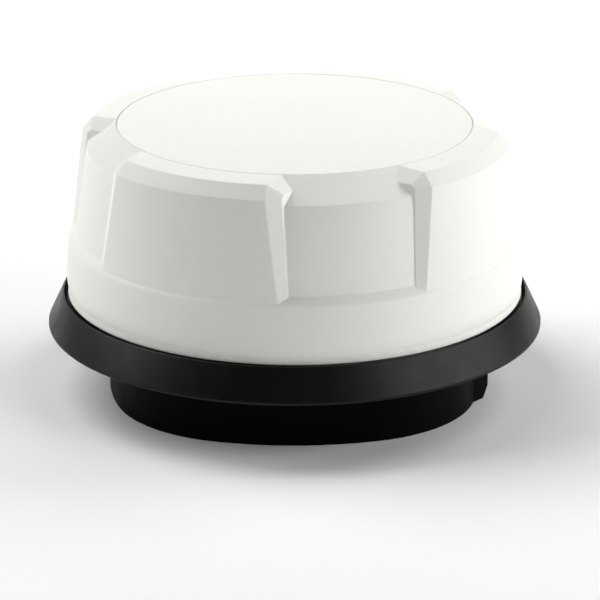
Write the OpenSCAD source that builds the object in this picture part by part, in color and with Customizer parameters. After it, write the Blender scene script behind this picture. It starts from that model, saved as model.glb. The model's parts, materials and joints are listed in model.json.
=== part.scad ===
// Compact GNSS receiver: a white radome with four raised lugs and a flat top disc, a flared
// rubber bumper ring, and a black base with a rounded-square outline. The battery door is on the
// underside, the power button and status lights are on the rear wall, and a hinged cover on the
// right wall hides the data port. A brass insert takes the pole's 5/8 inch thread.
// Units are millimetres. The origin is the centre of the underside, +Z is up and -Y is the front.

/* [Ring and base] */
// Outside diameter of the bumper ring, the widest part
ring_d = 150; // [148:0.5:152]
// Height of the ring's lower edge above the underside
ring_z = 19.5; // [19.4:0.1:20]
// Height of the ring's flared skirt
ring_h = 10.2; // [10:0.1:10.4]
// Half the width of the base across its flat sides
base_half = 56.7; // [56.5:0.1:57.5]
// Radius of the circle that holds the base's rounded corners
base_reach = 60.1; // [60:0.1:60.6]
// Radius of the base's rounded corners
base_corner_r = 41.9; // [40:0.1:43]
// Thickness of the base's side walls
base_wall = 2.6; // [2:0.1:3]
// Thickness of the base's floor
floor_t = 3; // [3:0.1:3.4]

/* [Radome] */
// Height of the radome's flat top above the underside
top_z = 81.7; // [81:0.1:83]
// Radius of the seam around the top disc
seam_r = 53.6; // [52.5:0.1:54.5]
// Wall thickness of the radome
radome_wall = 2.4; // [2:0.1:2.8]
// Half of the angle that a lug's top face spans
lug_half_angle = 22.6; // [21:0.1:24]
// Angle from the +X axis to the middle of the first lug
lug_turn = 60; // [50:1:70]
// Thickness of the top disc
disc_t = 1.6; // [1.2:0.1:2]

/* [Pole thread] */
// Radius of the thread's bore at its crests
thread_r = 6.75; // [6.6:0.05:6.9]
// Depth of the threaded hole
thread_depth = 15; // [12:0.5:15.5]

/* [Battery] */
// Length of the battery pack
pack_l = 57; // [50:1:57]
// Width of the battery pack
pack_w = 27; // [24:0.5:27]
// Height of the battery pack
pack_h = 14.6; // [12:0.2:14.6]

/* [Controls] */
// Radius of the power button's cap
button_r = 5; // [4:0.1:5]
// How far the power button stands out of the rear wall
button_proud = 0.5; // [0.2:0.1:1]
// Radius of each status light
light_r = 1.2; // [0.8:0.1:1.5]
// Width of the port cover
cover_w = 19.2; // [16:0.2:19.4]

/* [Hidden] */
$fn = 96;
TINY = 0.02;

// Outline of the base: four side arcs, each running smoothly into two corner arcs
corner_shift = (base_reach - base_corner_r) / sqrt(2);
side_gap = base_half - base_corner_r;
side_shift = (2 * pow(corner_shift, 2) - pow(side_gap, 2)) / (2 * (side_gap - corner_shift));
side_arc_r = base_half + side_shift;
side_turn = atan(corner_shift / (corner_shift + side_shift));

// Ring, flange and chassis
ring_r = ring_d / 2;
ring_top_z = ring_z + ring_h;
ring_rim_r = ring_r - 4.5;
ring_bore_r = ring_r - 8.8;
flange_r = ring_bore_r - 0.3;
flange_t = 3;
flange_top_z = ring_z + flange_t;
chassis_z = flange_top_z + 0.5;
chassis_t = 4;
chassis_top_z = chassis_z + chassis_t;
chassis_rim_r = ring_bore_r + 1;

// Radome profile radii and heights, lug and recess
lug_top_r = ring_r - 13.75;
lug_wall_r = ring_r - 10.2;
lug_foot_r = ring_r - 7;
lug_top_z = top_z - 0.65;
lug_wall_z = top_z - 4.45;
lug_foot_z = top_z - 34;
recess_r = ring_r - 12.8;
recess_z = top_z - 6.5;
recess_foot_r = ring_r - 9;
recess_foot_z = top_z - 32.2;
ledge_r = ring_r - 6.85;
ledge_z = top_z - 34.9;
band_r = ring_r - 5.4;
band_z = ring_top_z + 5.2;
radome_edge_r = ring_r - 7.2;
radome_lip_r = 57.5;
radome_lip_t = 4.5;
disc_z = top_z - disc_t;

// Housing screws, in pairs beside the middle of each side
SIDES = [0, 90, 180, 270];
screw_turn = 27;
screw_circle_r = 62.2;
screw_r = 1.5;
screw_head_r = 2.6;
screw_head_h = 1.6;
screw_end_z = chassis_top_z + 11;

// Pole insert
insert_r = 9.5;
insert_boss_r = 12.5;
insert_z = 0.4;
insert_hex_z = 14;
insert_top_z = 18;
insert_hex_r = 12.4;
clamp_l = 44;
clamp_w = 14;
clamp_t = 1.5;
clamp_screw_x = 18;

// Battery bay, door and lock
bay_l = pack_l + 2;
bay_front_y = -46.4;
bay_rear_y = -18.2;
bay_wall = 1.2;
bay_top_z = 21.6;
bay_roof_t = 1.2;
bay_mid_y = (bay_front_y + bay_rear_y) / 2;
door_l = bay_l + 3;
door_front_y = bay_front_y - 1;
door_rear_y = bay_rear_y + 0.8;
door_w = door_rear_y - door_front_y;
door_t = 2;
door_gap = 0.3;
hinge_y = door_front_y - 3;
hinge_relief = 1.8;
hinge_z = 2.2;
hinge_r = 2.2;
hinge_pin_r = 0.9;
hinge_x = 13;
knuckle_w = 9.4;
lock_rest_y = -18.4;
lock_z = door_t + 0.2;
pack_z = 5.6;
lead_x = 34;
lead_y = bay_mid_y + 6;

// Rear control panel and right-hand port panel, both flat pads on the curved wall
pad_out = base_half + 1.7;
pad_foot_z = 3.6; // height of the pads' drafted foot
pad_foot_in = 1.4;
pad_high_z = 17.2;
wall_in = base_half - base_wall;
button_z = 10.6;
boot_r = button_r + 2.4;
LIGHTS_X = [-16, -11, 11, 16];
cover_hinge_x = pad_out - 0.7;
cover_hinge_z = 5.8;
cover_hinge_r = 1.2;
cover_pin_r = 0.6;
cover_t = 1.8;
cover_h = 9.6;
io_board_z = 7.6;

// Boards and antenna stack
board_t = 1.6;
usb_h = 3.3;
port_z = io_board_z + board_t + usb_h / 2;
button_board_y = 43.9;
board_face_y = button_board_y + board_t;
main_board_z = chassis_top_z + 4;
main_board_r = 53.5;
main_top_z = main_board_z + board_t;
STANDOFFS = [0, 60, 120, 180, 240, 300];
standoff_circle_r = 48;
POSTS = [45, 135, 225, 315];
post_circle_r = 49.5;
ground_z = 52;
ground_t = 2;
ground_r = 56.5;
antenna_board_z = ground_z + ground_t;
antenna_board_r = 43;
lower_patch_z = antenna_board_z + board_t;
lower_patch_w = 50;
lower_patch_h = 6;
plating_t = 0.2;
upper_patch_z = lower_patch_z + lower_patch_h + plating_t;
upper_patch_w = 30;
upper_patch_h = 4;
pin_circle_r = 6.5;
feed_pin_r = 0.5;

// ---------- Shared shapes ----------

// A rectangle with rounded corners, centred on the origin
module rounded_rect(w, d, r) {
    square([w - 2 * r, d], center = true);
    square([w, d - 2 * r], center = true);
    for (x = [-1, 1], y = [-1, 1])
        translate([x * (w / 2 - r), y * (d / 2 - r)])
            circle(r);
}

// A block with rounded upright edges, standing on z = 0
module rounded_block(w, d, h, r) {
    linear_extrude(h)
        rounded_rect(w, d, r);
}

// A slot lying along X: a round-ended bar centred on the origin
module slot(w, h) {
    square([w - h, h], center = true);
    for (x = [-1, 1])
        translate([x * (w - h) / 2, 0])
            circle(h / 2);
}

// The base's rounded-square outline, moved inwards by inset
module base_outline(inset = 0) {
    tangent_x = side_arc_r * sin(side_turn);
    for (turn = SIDES)
        rotate(turn) {
            translate([corner_shift, corner_shift])
                circle(base_corner_r - inset);
            intersection() {
                translate([0, -side_shift])
                    circle(side_arc_r - inset);
                translate([-tangent_x, 0])
                    square([2 * tangent_x, base_reach]);
            }
        }
    circle(base_half - inset);
}

// A ring cut from the base's outline, between two insets
module outline_band(outer, inner, h) {
    linear_extrude(h)
        difference() {
            base_outline(outer);
            base_outline(inner);
        }
}

// Copies its children to the eight housing screws
module at_housing_screws() {
    for (side = SIDES, turn = [-screw_turn, screw_turn])
        rotate(side + turn)
            translate([screw_circle_r, 0, 0])
                children();
}

// Copies its children around a circle
module around(angles, r) {
    for (a = angles)
        rotate(a)
            translate([r, 0, 0])
                children();
}

// A tube standing on z = 0
module tube(r_out, r_in, h) {
    rotate_extrude()
        translate([r_in, 0])
            square([r_out - r_in, h]);
}

// A cap screw pointing up, its head's flat top at z = 0
module screw(head_r, head_h, shank_r, length) {
    difference() {
        cylinder(r = head_r, h = head_h);
        translate([0, 0, -TINY])
            cylinder(r = head_r * 0.5, h = head_h * 0.6, $fn = 6);
    }
    translate([0, 0, head_h - TINY])
        cylinder(r = shank_r, h = length);
}

// ---------- Radome ----------

// Profile of the recessed body, moved inwards by inset, from the lower edge to the top
module core_profile(inset, low_z) {
    polygon([
        [0, low_z],
        [radome_edge_r - inset, low_z],
        [radome_edge_r + 1.2 - inset, low_z + 0.5],
        [band_r - 0.25 - inset, low_z + 2],
        [band_r - inset, band_z],
        [ledge_r + 0.9 - inset, (band_z + ledge_z) / 2 + 1],
        [ledge_r - inset, ledge_z],
        [ledge_r - 0.9 - inset, ledge_z + 0.5],
        [recess_foot_r + 0.4 - inset, ledge_z + 1.2],
        [recess_foot_r - inset, recess_foot_z],
        [recess_r + 0.45 - inset, recess_z - 1.6],
        [recess_r - inset, recess_z - 0.25],
        [recess_r - 1 - inset, recess_z + 0.6],
        [seam_r - inset * 0.5, top_z - inset],
        [0, top_z - inset]
    ]);
}

// Profile of a lug: sloping top face, chamfer and outer wall
module lug_profile(inset) {
    polygon([
        [seam_r - 8, lug_foot_z + 4],
        [recess_foot_r - inset - 2, lug_foot_z],
        [lug_foot_r - inset, lug_foot_z],
        [lug_wall_r - inset, lug_wall_z - inset * 0.4],
        [lug_top_r - inset * 0.4, lug_top_z - inset],
        [seam_r - inset * 0.5, top_z - inset],
        [seam_r - 8, top_z - inset]
    ]);
}

// Everything on the outer side of a plane through point, whose normal has this turn and tilt
module beyond(point, turn, tilt) {
    translate(point)
        rotate([0, 0, turn])
            rotate([0, -tilt, 0])
                translate([0, -60, -80])
                    cube([80, 120, 160]);
}

// A point on the lug's edge, in the lug's own frame
function edge_point(r, z) = [r * cos(lug_half_angle), r * sin(lug_half_angle), z];

// The four flat facets that end a lug, each moved inwards by inset
module lug_end(inset) {
    back = [-inset * 0.4, -inset, 0];
    beyond(edge_point(lug_wall_r, lug_wall_z) + back, 50, 8.4);
    beyond(edge_point(lug_top_r, lug_top_z) + back, 84, 57.6);
    beyond(edge_point(lug_top_r, lug_top_z) + back, 50, 40);
    beyond([recess_r - 6.9, 28.5, recess_z] + back, 85, 7.3);
}

module lug(inset) {
    span = 66;
    difference() {
        rotate([0, 0, -span / 2])
            rotate_extrude(angle = span)
                lug_profile(inset);
        lug_end(inset);
        mirror([0, 1, 0])
            lug_end(inset);
    }
}

module radome_body(inset, low_z) {
    rotate_extrude()
        core_profile(inset, low_z);
    for (side = SIDES)
        rotate([0, 0, lug_turn + side])
            lug(inset);
}

module radome() {
    boss_r = 3.4;
    color("whitesmoke")
        difference() {
            union() {
                difference() {
                    radome_body(0, ring_top_z);
                    radome_body(radome_wall, ring_top_z - 1);
                }
                // Lip that the chassis carries, and the bosses for the housing screws
                translate([0, 0, chassis_top_z])
                    tube(ring_bore_r - 0.2, radome_lip_r, radome_lip_t);
                at_housing_screws()
                    translate([0, 0, chassis_top_z]) {
                        cylinder(r = boss_r, h = 14);
                        translate([0, -1, 3])
                            cube([5.2, 2, 11]);
                    }
                // Roof under the top disc
                translate([0, 0, disc_z - radome_wall])
                    cylinder(r = seam_r + 1, h = radome_wall);
            }
            at_housing_screws()
                translate([0, 0, chassis_top_z - TINY])
                    cylinder(r = screw_r, h = screw_end_z - chassis_top_z + 1);
            translate([0, 0, disc_z])
                cylinder(r = seam_r, h = disc_t + 1);
        }
}

module top_disc() {
    color("white")
        translate([0, 0, disc_z])
            rotate_extrude()
                polygon([
                    [0, 0],
                    [seam_r - 0.15, 0],
                    [seam_r - 0.15, disc_t - 0.25],
                    [seam_r - 0.4, disc_t],
                    [0, disc_t]
                ]);
}

// ---------- Bumper ring, chassis and base ----------

module bumper_ring() {
    groove_z = chassis_z + 1;
    rib_n = 36;
    color("#1c1c1c") {
        rotate_extrude()
            polygon([
                [ring_r - 0.3, ring_z],
                [ring_r, ring_z + 0.3],
                [ring_r, ring_z + 0.7],
                [ring_rim_r + 0.2, ring_top_z - 0.5],
                [ring_rim_r - 0.4, ring_top_z],
                [ring_bore_r, ring_top_z],
                [ring_bore_r, chassis_top_z],
                [chassis_rim_r, chassis_top_z],
                [chassis_rim_r, groove_z],
                [ring_bore_r, groove_z],
                [ring_bore_r, ring_z],
                [ring_bore_r + 1.6, ring_z],
                [ring_bore_r + 2, ring_z + 3.2],
                [ring_r - 3.6, ring_z + 3.2],
                [ring_r - 2, ring_z]
            ]);
        for (i = [0:rib_n - 1])
            rotate(i * 360 / rib_n)
                translate([ring_bore_r + 1.2, -0.6, ring_z + 0.6])
                    cube([5.4, 1.2, 3]);
    }
}

module chassis_plate() {
    color("darkgray")
        difference() {
            union() {
                translate([0, 0, chassis_z])
                    cylinder(r = flange_r, h = 1);
                translate([0, 0, chassis_z + 1])
                    cylinder(r = chassis_rim_r, h = chassis_t - 1);
                around(STANDOFFS, standoff_circle_r)
                    translate([0, 0, chassis_top_z])
                        cylinder(r = 4, h = 0.6);
            }
            // Seal and gasket grooves
            translate([0, 0, chassis_top_z - 1])
                tube(ring_bore_r - 0.6, ring_bore_r - 2.2, 2);
            translate([0, 0, chassis_z - 0.5])
                outline_band(0.3, 2.1, 1);
            at_housing_screws()
                translate([0, 0, chassis_z - 1])
                    cylinder(r = screw_r + 0.2, h = chassis_t + 2);
            // Middle opening, cable slots and lightening pockets
            translate([0, 0, chassis_z - 1])
                cylinder(r = 17, h = chassis_t + 2);
            translate([0, 48.4, chassis_z - 1])
                rounded_block(20, 4, chassis_t + 2, 1.5);
            translate([lead_x, lead_y, chassis_z - 1])
                cylinder(r = 3, h = chassis_t + 2);
            translate([0, 0, chassis_top_z - 1.6])
                for (a = [90, 210, 330])
                    rotate(a)
                        translate([31, 0, 0])
                            rounded_block(16, 30, 3, 4);
            around(STANDOFFS, standoff_circle_r)
                translate([0, 0, chassis_z - 1])
                    cylinder(r = 1.25, h = chassis_t + 3);
            around(POSTS, post_circle_r)
                translate([0, 0, chassis_z - 1])
                    cylinder(r = 1.5, h = chassis_t + 3);
        }
}

module radome_seal() {
    color("#3a3a3a")
        translate([0, 0, chassis_top_z - 1])
            tube(ring_bore_r - 0.6, ring_bore_r - 2.2, 1);
}

module base_gasket() {
    color("#333333")
        translate([0, 0, flange_top_z - 0.5])
            outline_band(0.3, 2.1, 1.5);
}

module housing_screws() {
    color("silver")
        at_housing_screws()
            translate([0, 0, ring_z + 0.3])
                screw(screw_head_r, screw_head_h, screw_r, screw_end_z - ring_z - 2);
}

// A flat panel standing off the curved wall on the +X side, drawn in towards its foot
module wall_pad(flat) {
    slant = 8;
    root_x = wall_in - 2.5;
    intersection() {
        linear_extrude(pad_high_z)
            difference() {
                polygon([
                    [root_x, -flat - slant],
                    [pad_out, -flat],
                    [pad_out, flat],
                    [root_x, flat + slant]
                ]);
                base_outline(base_wall);
            }
        rotate([90, 0, 0])
            linear_extrude(4 * flat, center = true)
                polygon([
                    [root_x - 1, -1],
                    [pad_out - pad_foot_in, -1],
                    [pad_out - pad_foot_in, 0],
                    [pad_out, pad_foot_z],
                    [pad_out, pad_high_z + 1],
                    [root_x - 1, pad_high_z + 1]
                ]);
    }
}

// Seat, hinge notch and pin bore for the port cover, cut out of the right-hand pad
module port_cut() {
    seat_x = pad_out - cover_t + 0.1;
    translate([seat_x, -cover_w / 2 - 0.3, cover_hinge_z])
        cube([cover_t + 1, cover_w + 0.6, cover_h + 0.9]);
    translate([cover_hinge_x, 0, cover_hinge_z])
        rotate([90, 0, 0])
            cylinder(r = cover_hinge_r + 0.3, h = cover_w + 0.6, center = true);
    translate([cover_hinge_x, -cover_w / 2 - 0.3, cover_hinge_z - cover_hinge_r - 0.8])
        cube([2, cover_w + 0.6, 3.5]);
    translate([cover_hinge_x, 0, cover_hinge_z])
        rotate([90, 0, 0])
            cylinder(r = cover_pin_r, h = cover_w + 6, center = true);
    translate([wall_in - 6, 0, port_z])
        rotate([90, 0, 90])
            linear_extrude(20)
                slot(11.6, 5.4);
}

// Bores for the power button and the status lights, cut out of the rear pad
module control_cut() {
    start_y = wall_in - 5;
    translate([0, start_y, button_z])
        rotate([-90, 0, 0]) {
            cylinder(r = button_r + 0.3, h = 15);
            cylinder(r = button_r + 1.5, h = wall_in + 0.1 - start_y);
            cylinder(r = boot_r + 0.15, h = wall_in - 0.4 - start_y);
            for (x = LIGHTS_X)
                translate([x, 0, 0])
                    cylinder(r = light_r, h = 15);
        }
}

// Opening and hinge notches for the battery door
module door_cut() {
    // The front edge stays clear of the door's edge as it swings down
    cut_front_y = hinge_y + hinge_relief;
    cut_rear_y = door_rear_y + door_gap;
    translate([0, (cut_front_y + cut_rear_y) / 2, -1])
        rounded_block(door_l + 2 * door_gap, cut_rear_y - cut_front_y, floor_t + 2, 2);
    for (side = [-1, 1])
        translate([side * hinge_x, 0, 0]) {
            translate([-knuckle_w / 2 - 0.3, hinge_y - 2.9, -1])
                cube([knuckle_w + 0.6, 6, floor_t + 4]);
            translate([0, hinge_y, hinge_z])
                rotate([0, 90, 0])
                    cylinder(r = hinge_pin_r, h = knuckle_w + 6, center = true);
        }
}

module base_housing() {
    post_r = 3;
    color("#101010")
        difference() {
            union() {
                linear_extrude(floor_t)
                    base_outline();
                outline_band(0, base_wall, ring_z + flange_t);
                translate([0, 0, ring_z])
                    linear_extrude(flange_t)
                        difference() {
                            circle(flange_r);
                            base_outline(base_wall);
                        }
                // Boss for the pole insert and the posts of its clamp
                cylinder(r = insert_boss_r, h = insert_hex_z);
                for (x = [-1, 1])
                    translate([x * clamp_screw_x, 0, 0])
                        cylinder(r = post_r, h = insert_top_z);
                // Ears of the door hinge
                for (side = [-1, 1], end = [-1, 1])
                    translate([side * hinge_x + end * (knuckle_w / 2 + 1.5) - 1.2, hinge_y - 2.2, 0])
                        cube([2.4, 2.2 + hinge_relief, hinge_z + 2.2]);
                // Rear and right-hand pads
                rotate([0, 0, 90])
                    wall_pad(19.5);
                wall_pad(16.5);
                // Posts under the port board and the power board, and rails for the button board
                for (y = [-6, 6])
                    translate([43, y, 0])
                        cylinder(r = 1.8, h = io_board_z);
                for (x = [-46, -26], y = [-4, 14])
                    translate([x, y, 0])
                        cylinder(r = 2, h = 8);
                for (side = [-1, 1])
                    translate([side * 20.6 - 1.2, button_board_y - 1.7, 0])
                        cube([2.4, 5, 16]);
            }
            translate([0, 0, -1])
                cylinder(r = insert_r, h = insert_top_z);
            for (x = [-1, 1])
                translate([x * clamp_screw_x, 0, 6])
                    cylinder(r = 1.25, h = insert_top_z);
            at_housing_screws() {
                translate([0, 0, ring_z - 1])
                    cylinder(r = screw_head_r + 0.2, h = screw_head_h + 1.3);
                translate([0, 0, ring_z])
                    cylinder(r = screw_r + 0.2, h = flange_t + 1);
            }
            translate([0, 0, flange_top_z - 0.5])
                outline_band(0.3, 2.1, 1);
            door_cut();
            control_cut();
            port_cut();
            // Slots that hold the button board
            for (side = [-1, 1])
                translate([side * 20.2 - 1, button_board_y, floor_t])
                    cube([2, board_t, 14]);
            // Vent hole
            translate([-34, 30, -1])
                cylinder(r = 3.4, h = floor_t + 2);
        }
}

// ---------- Pole insert ----------

module pole_insert() {
    color("goldenrod")
        difference() {
            union() {
                translate([0, 0, insert_z])
                    cylinder(r = insert_r, h = insert_top_z - insert_z - 1);
                translate([0, 0, insert_hex_z])
                    cylinder(r = insert_hex_r, h = insert_top_z - insert_hex_z, $fn = 6);
            }
            translate([0, 0, insert_z - 1])
                cylinder(r = thread_r, h = thread_depth + 1);
        }
}

module insert_clamp() {
    color("silver")
        translate([0, 0, insert_top_z])
            difference() {
                rounded_block(clamp_l, clamp_w, clamp_t, 4);
                for (x = [-1, 1])
                    translate([x * clamp_screw_x, 0, -1])
                        cylinder(r = 1.5, h = clamp_t + 2);
                translate([0, 0, -1])
                    cylinder(r = 5, h = clamp_t + 2);
            }
}

module clamp_screws() {
    color("gray")
        for (x = [-1, 1])
            translate([x * clamp_screw_x, 0, insert_top_z + clamp_t + 1.5])
                mirror([0, 0, 1])
                    screw(2.3, 1.5, 1.25, 9);
}

// ---------- Battery bay, door and lock ----------

module battery_bay() {
    outer_l = bay_l + 2 * bay_wall;
    outer_w = bay_rear_y - bay_front_y + 2 * bay_wall;
    height = bay_top_z - floor_t;
    color("#2b2b2b")
        difference() {
            union() {
                translate([0, bay_mid_y, floor_t])
                    rounded_block(outer_l, outer_w, height, 3);
                // Mounting flange along the two ends
                for (side = [-1, 1])
                    translate([side * (outer_l / 2 + 0.6) - 1.4, -40, floor_t])
                        cube([2.8, 20, 1.2]);
            }
            translate([0, bay_mid_y, floor_t - 1])
                rounded_block(bay_l, outer_w - 2 * bay_wall, height + 1 - bay_roof_t, 2);
            // Way for the lock's tongue, and windows for the contacts
            translate([-6.3, bay_rear_y - 1, floor_t - 1])
                cube([12.6, 4, 3.2]);
            for (y = [-6, 0, 6])
                translate([bay_l / 2 - 1, bay_mid_y + y - 1.5, 12.5])
                    cube([4, 3, 3]);
        }
}

module battery_pack() {
    color("#26282c")
        translate([-0.8, bay_mid_y, pack_z])
            difference() {
                rounded_block(pack_l - 1.6, pack_w, pack_h, 2.5);
                // Finger groove on the exposed face
                translate([-pack_l / 2 + 6, -8, -1])
                    cube([4, 16, 1.8]);
            }
}

module battery_contacts() {
    color("gold")
        for (y = [-6, 0, 6])
            translate([pack_l / 2 - 1.6, bay_mid_y + y - 1.1, 12.9])
                cube([4.8, 2.2, 2.2]);
}

module battery_leads() {
    color("firebrick")
        for (y = [-1, 1])
            translate([lead_x, lead_y + 1.2 * y, 14]) {
                cylinder(r = 0.9, h = main_board_z - 14);
                sphere(r = 0.9);
                rotate([0, -90, 0])
                    cylinder(r = 0.9, h = lead_x - pack_l / 2 - 3.2);
            }
}

module battery_door() {
    color("#121212")
        difference() {
            union() {
                translate([0, (door_front_y + door_rear_y) / 2, 0])
                    rounded_block(door_l, door_w, door_t, 1.7);
                for (side = [-1, 1])
                    translate([side * hinge_x, 0, 0]) {
                        translate([0, hinge_y, hinge_z])
                            rotate([0, 90, 0])
                                cylinder(r = hinge_r, h = knuckle_w, center = true);
                        translate([-knuckle_w / 2, hinge_y, 0])
                            cube([knuckle_w, 3.2, hinge_z + 0.2]);
                    }
                // Stiffening ribs on the inner face
                for (x = [-18, 18])
                    translate([x - 0.8, -42, door_t - TINY])
                        cube([1.6, 20, 1.4]);
            }
            for (side = [-1, 1])
                translate([side * hinge_x, hinge_y, hinge_z])
                    rotate([0, 90, 0])
                        cylinder(r = hinge_pin_r + 0.05, h = knuckle_w + 2, center = true);
            // Slot for the lock's thumb grip, in a shallow finger dish
            translate([0, lock_rest_y - 5.4, -1])
                rounded_block(7, 8.4, door_t + 2, 1);
            translate([0, lock_rest_y - 5.4, -1])
                rounded_block(14, 11, 1.6, 3);
        }
}

module door_seal() {
    color("#444444")
        translate([0, bay_mid_y, door_t])
            difference() {
                rounded_block(bay_l + 1.6, bay_rear_y - bay_front_y + 1.3, 0.8, 2.6);
                translate([0, 0, -1])
                    rounded_block(bay_l - 0.6, bay_rear_y - bay_front_y - 0.9, 3, 1.6);
                // Gap under the lock
                translate([-7.2, 10, -1])
                    cube([14.4, 8, 3]);
            }
}

module door_hinge_pins() {
    color("silver")
        for (side = [-1, 1])
            translate([side * hinge_x, hinge_y, hinge_z])
                rotate([0, 90, 0])
                    cylinder(r = hinge_pin_r, h = knuckle_w + 5, center = true);
}

module lock_slider() {
    color("darkorange") {
        // Plate, tongue and thumb grip
        translate([-5.8, lock_rest_y - 8.6, lock_z])
            cube([11.6, 7, 1.2]);
        translate([-4, lock_rest_y - 6, lock_z + 1.2 - TINY])
            cube([8, 6, 1.3]);
        translate([0, lock_rest_y - 6.7, 0.4])
            rounded_block(6, 4.6, lock_z - 0.3, 0.8);
    }
}

module lock_guide() {
    color("silver")
        difference() {
            translate([-7, lock_rest_y - 8, door_t])
                cube([14, 5, 3.3]);
            translate([-6, lock_rest_y - 9, door_t - 1])
                cube([12, 7, 3.9]);
        }
}

// ---------- Power button and status lights ----------

module power_button() {
    color("#3f4448")
        translate([0, wall_in - 1.1, button_z])
            rotate([-90, 0, 0])
                difference() {
                    union() {
                        cylinder(r = button_r + 1, h = 1);
                        cylinder(r = button_r, h = pad_out + button_proud - wall_in + 1.1);
                    }
                    // Shallow dish for the finger
                    translate([0, 0, pad_out + button_proud - wall_in + 0.8])
                        cylinder(r = button_r - 1, h = 2);
                }
}

module button_boot() {
    color("#5a5a5a")
        translate([0, wall_in - 3.5, button_z])
            rotate([-90, 0, 0]) {
                cylinder(r = boot_r, h = 0.8);
                cylinder(r = 2.4, h = 1.3);
                tube(boot_r, button_r + 1.3, 3.1);
            }
}

module tact_switch() {
    color("dimgray")
        translate([0, board_face_y, button_z])
            rotate([-90, 0, 0]) {
                translate([-3, -3, 0])
                    cube([6, 6, 3.4]);
                cylinder(r = 1.7, h = wall_in - 3.5 - board_face_y);
            }
}

module button_board() {
    color("darkgreen")
        translate([-20.2, button_board_y, floor_t])
            cube([40.4, board_t, 13.6]);
}

module status_leds() {
    color("lightyellow")
        for (x = LIGHTS_X)
            translate([x - 1, board_face_y, button_z - 0.8])
                cube([2, 0.8, 1.6]);
}

module light_pipes() {
    pipe_y = board_face_y + 1;
    color("lightgreen")
        for (x = LIGHTS_X)
            translate([x, pipe_y, button_z])
                rotate([-90, 0, 0])
                    cylinder(r = light_r, h = pad_out + 0.1 - pipe_y);
}

module button_flex() {
    color("orange")
        translate([4.2, board_face_y, 0]) {
            translate([0, 2, 6])
                cube([4, 0.3, main_board_z - 6]);
            translate([0, 0, 4.4])
                cube([4, 2.3, 1.6 + TINY]);
        }
}

// ---------- Data port ----------

module port_cover() {
    color("#1a1a1a")
        difference() {
            union() {
                translate([pad_out - cover_t + 0.3, -cover_w / 2, cover_hinge_z])
                    cube([cover_t + 0.1, cover_w, cover_h + 0.6]);
                translate([cover_hinge_x, 0, cover_hinge_z])
                    rotate([90, 0, 0])
                        cylinder(r = cover_hinge_r, h = cover_w, center = true);
                // Plug that fills the port's mouth
                translate([pad_out - cover_t - 0.7, 0, port_z])
                    rotate([90, 0, 90])
                        linear_extrude(1.2)
                            slot(8, 2.6);
                // Finger lip
                translate([pad_out + 0.3, -4, cover_hinge_z + cover_h - 1])
                    cube([0.7, 8, 1.6]);
            }
            translate([cover_hinge_x, 0, cover_hinge_z])
                rotate([90, 0, 0])
                    cylinder(r = cover_pin_r + 0.05, h = cover_w + 2, center = true);
        }
}

module port_cover_pin() {
    color("silver")
        translate([cover_hinge_x, 0, cover_hinge_z])
            rotate([90, 0, 0])
                cylinder(r = cover_pin_r, h = cover_w + 4, center = true);
}

module usb_connector() {
    color("silver")
        translate([46.4, 0, port_z])
            rotate([90, 0, 90])
                difference() {
                    linear_extrude(8)
                        slot(8.9, usb_h);
                    translate([0, 0, 1])
                        linear_extrude(8)
                            slot(8.3, usb_h - 0.6);
                }
}

module usb_tongue() {
    color("#222222")
        translate([47.4, -3.3, port_z - 0.35])
            cube([5.6, 6.6, 0.7]);
}

module io_board() {
    color("darkgreen")
        translate([46.6, 0, io_board_z])
            linear_extrude(board_t)
                rounded_rect(13, 18, 1);
}

// ---------- Power board in the base ----------

module power_board() {
    color("darkgreen")
        translate([-36, 5, 8])
            linear_extrude(board_t)
                rounded_rect(27, 26, 2);
}

module power_chips() {
    color("#333333")
        translate([-36, 5, 8 + board_t]) {
            translate([-9, -8, 0])
                rounded_block(7, 7, 4, 1);
            translate([5, -8, 0])
                rounded_block(7, 7, 4, 1);
            translate([-5, 6, 0])
                rounded_block(6, 6, 1.2, 0.3);
            for (x = [3, 7, 11])
                translate([x, 7, 0])
                    rounded_block(2.6, 5, 2.2, 0.3);
        }
}

// ---------- Main board and its modules ----------

module main_board() {
    color("darkgreen")
        translate([0, 0, main_board_z])
            difference() {
                cylinder(r = main_board_r, h = board_t);
                around(STANDOFFS, standoff_circle_r)
                    translate([0, 0, -1])
                        cylinder(r = 1.25, h = board_t + 2);
                around(POSTS, post_circle_r)
                    translate([0, 0, -1])
                        cylinder(r = 3.8, h = board_t + 2);
            }
}

// A soldered module: a thin carrier with a metal can on it
module canned_module(x, y, w, d, h) {
    translate([x, y, main_top_z]) {
        rounded_block(w, d, 0.8, 0.4);
        translate([0, 0, 0.8 - TINY])
            rounded_block(w - 1.6, d - 1.6, h - 0.8, 0.6);
    }
}

module gnss_module() {
    color("silver")
        canned_module(0, 18, 46, 28, 4.6);
}

module radio_module() {
    color("lightgray")
        canned_module(-21, -14, 24, 32, 4);
}

module cellular_module() {
    color("gainsboro")
        canned_module(17, -20, 26, 24, 2.8);
}

module bluetooth_module() {
    color("silver")
        canned_module(0, 42, 16, 11, 2.4);
}

module tilt_sensor() {
    color("#2e2e2e")
        translate([22, -2, main_top_z])
            rounded_block(11, 9, 3.2, 0.5);
}

module board_chips() {
    color("#262626")
        translate([0, 0, main_top_z]) {
            translate([-2.5, -6, 0])
                rounded_block(10, 10, 1.4, 0.3);
            translate([8, -42, 0])
                rounded_block(8, 8, 1.2, 0.3);
            for (i = [0:5])
                translate([-41 + i * 3.2, 26, 0])
                    rounded_block(1.6, 3, 1.2, 0.2);
            for (i = [0:3])
                translate([39, -4 + i * 5, 0])
                    rounded_block(5, 3, 2, 0.3);
            for (i = [0:3])
                translate([-41, 4 + i * 4.4, 0])
                    rounded_block(4, 2.4, 1.6, 0.3);
        }
}

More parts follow.
